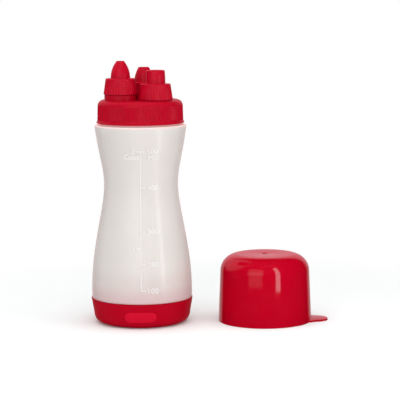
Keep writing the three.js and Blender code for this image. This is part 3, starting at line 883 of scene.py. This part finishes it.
cover = {
    "x": 0.10015, "rimRadius": 0.0378, "wall": 0.0016, "draft": 0.0016, "corner": 0.014, "height": 0.0549,
    "edge": 0.0005, "gateRadius": 0.0022, "gateDepth": 0.0006, "gateLip": 0.0006, "gateStep": 0.0001,
    "gateSlope": 0.0005, "gateMiddle": 0.0002, "nearAxis": 0.0003, "segments": 192,
}
tab = {
    "reach": 0.0135, "width": 0.02, "thickness": 0.0016, "edge": 0.0006, "flare": 0.005, "spread": 0.42,
    "sunk": 0.001, "drawnIn": 0.004, "cuts": 8, "segments": 96,
}


def makeTab():
    # half a disc drawn back into the wall, flared where it leaves it
    half = tab["width"] / 2
    root = cover["rimRadius"] - cover["wall"] / 2 - tab["sunk"]
    discX = cover["rimRadius"] + tab["reach"] - half
    deselectAll()
    bpy.ops.mesh.primitive_circle_add(
        vertices=tab["segments"], radius=half, fill_type="NGON", location=(discX, 0, 0)
    )
    piece = bpy.context.object
    piece.name = "tab"
    bpy.ops.object.transform_apply(location=True, rotation=True, scale=True)
    selectVertices(piece, lambda place: place.x < discX - byALittle)
    bpy.ops.transform.resize(value=(0, 1, 1), center_override=(root - tab["drawnIn"], 0, 0))
    cuts = tab["cuts"]
    flareStart = cover["rimRadius"] + tab["flare"]
    for i in range(1, cuts):
        bpy.ops.mesh.select_all(action="SELECT")
        bpy.ops.mesh.bisect(plane_co=(root + (flareStart - root) * i / cuts, 0, 0), plane_no=(1, 0, 0))
    bpy.ops.object.mode_set(mode="OBJECT")
    for vertex in piece.data.vertices:
        share = max(0, min(1, (flareStart - vertex.co.x) / (flareStart - root)))
        vertex.co.y *= 1 + tab["spread"] * share ** 2
    makeActive(piece)
    bpy.ops.object.mode_set(mode="EDIT")
    bpy.ops.mesh.select_all(action="SELECT")
    bpy.ops.mesh.extrude_region_move(TRANSFORM_OT_translate={"value": (0, 0, tab["thickness"])})
    faceOutwards()
    bevelPiece(piece, tab["edge"], 4)
    return piece


def makeCover():
    centre = cover["nearAxis"]
    top = cover["height"]
    side = top - cover["corner"]
    crown = cover["rimRadius"] - cover["draft"]
    edge = cover["edge"]
    inner = cover["rimRadius"] - cover["wall"]
    outline = [(centre, top - cover["wall"])]
    outline += arc(crown - cover["corner"], side, cover["corner"] - cover["wall"], 90, 0, 18)
    outline += [(inner, edge), (inner + edge / 2, 0)]
    outline += arc(cover["rimRadius"] - edge, edge, edge, -90, 0, 4)
    outline += arc(crown - cover["corner"], side, cover["corner"], 0, 90, 24)
    gate = cover["gateRadius"]
    gateFloor, gateMiddle = top - cover["gateDepth"], top - cover["gateMiddle"]
    outline += [(gate + cover["gateLip"], top), (gate, top - cover["gateStep"])]
    outline += [(gate - cover["gateSlope"], gateFloor), (gate / 2.5, gateFloor)]
    outline += [(gate / 3, gateMiddle), (centre, gateMiddle)]
    piece = turnPiece("cover_gloss", outline, cover["segments"])
    piece = combine(piece, makeTab(), "UNION")
    shiftPiece(piece, (cover["x"], 0, 0))
    finishPiece(piece, coverPlastic, "bottle_body", 40)
    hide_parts("cover")


makeCover()
print("cover made")


# Seals keep their solids and get their finish
for nodeName in ("lid_gasket", "washer_fine", "washer_wide", "washer_medium"):
    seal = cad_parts[nodeName]
    seal.data.materials.clear()
    seal.data.materials.append(sealSilicone)
print("seals finished")


# Floor, world and lamps

floor = {
    "size": 8.0, "below": 0.00002, "middle": (0.055, 0, 0), "plainFrom": 0.17, "plainTo": 0.36,
    "colour": (242, 244, 244), "roughness": 0.9, "lift": 0.08,
}


def makeFloor():
    # paper that fades to plain white away from the object, and is lifted a little for the camera
    deselectAll()
    bpy.ops.mesh.primitive_plane_add(size=floor["size"], location=(0, 0, -floor["below"]))
    plane = bpy.context.object
    plane.name = "floor"
    bpy.ops.object.transform_apply(location=True, rotation=True, scale=True)
    material, nodes, links, paper, place = startMaterial("floor_paper")
    paper.inputs["Base Color"].default_value = linear(*floor["colour"])
    paper.inputs["Roughness"].default_value = floor["roughness"]
    paper.inputs["Specular IOR Level"].default_value = 0
    glow = nodes.new("ShaderNodeEmission")
    glow.inputs["Color"].default_value = (1, 1, 1, 1)
    away = nodes.new("ShaderNodeVectorMath")
    away.operation = "DISTANCE"
    away.inputs[1].default_value = floor["middle"]
    links.new(place.outputs["Object"], away.inputs[0])
    fade = addRange(nodes, links, away.outputs["Value"], floor["plainFrom"], floor["plainTo"])
    fade.interpolation_type = "SMOOTHSTEP"
    ray = nodes.new("ShaderNodeLightPath").outputs
    seen = addMath(nodes, links, "MAXIMUM", ray["Is Camera Ray"], ray["Is Transmission Ray"])
    share = addMath(nodes, links, "MULTIPLY", fade.outputs["Result"], seen.outputs["Value"])
    lift = nodes.new("ShaderNodeEmission")
    lift.inputs["Color"].default_value = (1, 1, 1, 1)
    liftShare = nodes.new("ShaderNodeMath")
    liftShare.operation = "MULTIPLY"
    liftShare.inputs[1].default_value = floor["lift"]
    links.new(seen.outputs["Value"], liftShare.inputs[0])
    links.new(liftShare.outputs["Value"], lift.inputs["Strength"])
    lifted = nodes.new("ShaderNodeAddShader")
    links.new(paper.outputs["BSDF"], lifted.inputs[0])
    links.new(lift.outputs["Emission"], lifted.inputs[1])
    mix = nodes.new("ShaderNodeMixShader")
    links.new(share.outputs["Value"], mix.inputs["Fac"])
    links.new(lifted.outputs["Shader"], mix.inputs[1])
    links.new(glow.outputs["Emission"], mix.inputs[2])
    links.new(mix.outputs["Shader"], nodes["Material Output"].inputs["Surface"])
    plane.data.materials.append(material)
    plane.visible_glossy = False


studio = {
    "plain": 0.5,
    "backFrom": 0.7, "backTo": 0.82, "backLevel": 0.86, "dark": 0.0,
    "leftDirection": (-0.72, 0.35, 0.6), "leftFrom": 0.82, "leftTo": 0.9, "leftLevel": 0.8,
    "glossTint": (1.0, 0.5, 0.56, 1), "lowTint": (0.7, 0.5, 0.5, 1), "tintFrom": -0.02, "tintTo": 0.08,
}


def makeWorld():
    # white for the camera, an even grey for plain light, and a lit back and left for reflections
    world = bpy.data.worlds.new("studio")
    bpy.context.scene.world = world
    world.use_nodes = True
    nodes = world.node_tree.nodes
    links = world.node_tree.links
    background = nodes["Background"]
    direction = nodes.new("ShaderNodeTexCoord")
    split = nodes.new("ShaderNodeSeparateXYZ")
    links.new(direction.outputs["Generated"], split.inputs["Vector"])
    back = addRange(
        nodes, links, split.outputs["Y"], studio["backFrom"], studio["backTo"],
        studio["dark"], studio["backLevel"],
    )
    towards = nodes.new("ShaderNodeVectorMath")
    towards.operation = "DOT_PRODUCT"
    towards.inputs[1].default_value = studio["leftDirection"]
    links.new(direction.outputs["Generated"], towards.inputs[0])
    left = addRange(
        nodes, links, towards.outputs["Value"], studio["leftFrom"], studio["leftTo"],
        0.0, studio["leftLevel"],
    )
    brighter = addMath(nodes, links, "MAXIMUM", back.outputs["Result"], left.outputs["Result"])
    path = nodes.new("ShaderNodeLightPath")
    glossy = nodes.new("ShaderNodeMix")
    glossy.inputs["A"].default_value = studio["plain"]
    links.new(path.outputs["Is Glossy Ray"], glossy.inputs["Factor"])
    links.new(brighter.outputs["Value"], glossy.inputs["B"])
    seen = nodes.new("ShaderNodeMix")
    seen.inputs["B"].default_value = 1.0
    links.new(path.outputs["Is Camera Ray"], seen.inputs["Factor"])
    links.new(glossy.outputs["Result"], seen.inputs["A"])
    links.new(seen.outputs["Result"], background.inputs["Strength"])
    rise = addRange(nodes, links, split.outputs["Z"], studio["tintFrom"], studio["tintTo"])
    warmer = addColourMix(nodes, links, rise.outputs["Result"])
    warmer.inputs["A"].default_value = studio["lowTint"]
    warmer.inputs["B"].default_value = studio["glossTint"]
    tint = addColourMix(nodes, links, path.outputs["Is Glossy Ray"])
    tint.inputs["A"].default_value = (1, 1, 1, 1)
    links.new(warmer.outputs["Result"], tint.inputs["B"])
    links.new(tint.outputs["Result"], background.inputs["Color"])


lampSettings = (
    {"name": "strip_right", "place": (0.192, -0.168, 0.13), "target": (0.05, 0, 0.13),
     "size": (0.036, 0.255), "level": 3.6, "glossy": True},
    {"name": "softbox_left", "place": (-0.17, -0.54, 0.33), "target": (0.101, 0, 0.33),
     "size": (0.46, 0.5), "level": 0.5, "glossy": True},
    {"name": "softbox_low", "place": (-0.005, -0.233, 0.075), "target": (0.094, -0.036, 0.075),
     "size": (0.15, 0.15), "level": 0.45, "glossy": True},
    {"name": "overhead", "place": (0.0, -0.1, 1.3), "target": (0.05, 0, 0),
     "size": (1.4, 1.2), "level": 1.9, "glossy": False},
    {"name": "front_fill", "place": (-0.1, -1.5, 0.7), "target": (0.05, 0, 0.1),
     "size": (1.5, 1.0), "level": 1.0, "glossy": False},
)


def addLamp(settings):
    # a rectangular soft lamp of a given brightness that faces its target
    deselectAll()
    bpy.ops.object.light_add(type="AREA", location=settings["place"])
    lamp = bpy.context.object
    lamp.name = settings["name"]
    lamp.data.shape = "RECTANGLE"
    width, height = settings["size"]
    lamp.data.size, lamp.data.size_y = width, height
    lamp.data.energy = settings["level"] * math.pi * width * height
    aim = Vector(settings["target"]) - Vector(settings["place"])
    lamp.rotation_euler = aim.to_track_quat("-Z", "Y").to_euler()
    lamp.visible_glossy = settings["glossy"]
    lamp.visible_camera = False


makeFloor()
makeWorld()
for settings in lampSettings:
    addLamp(settings)
print("stage and lamps placed")

bpy.context.scene.view_settings.view_transform = "Standard"
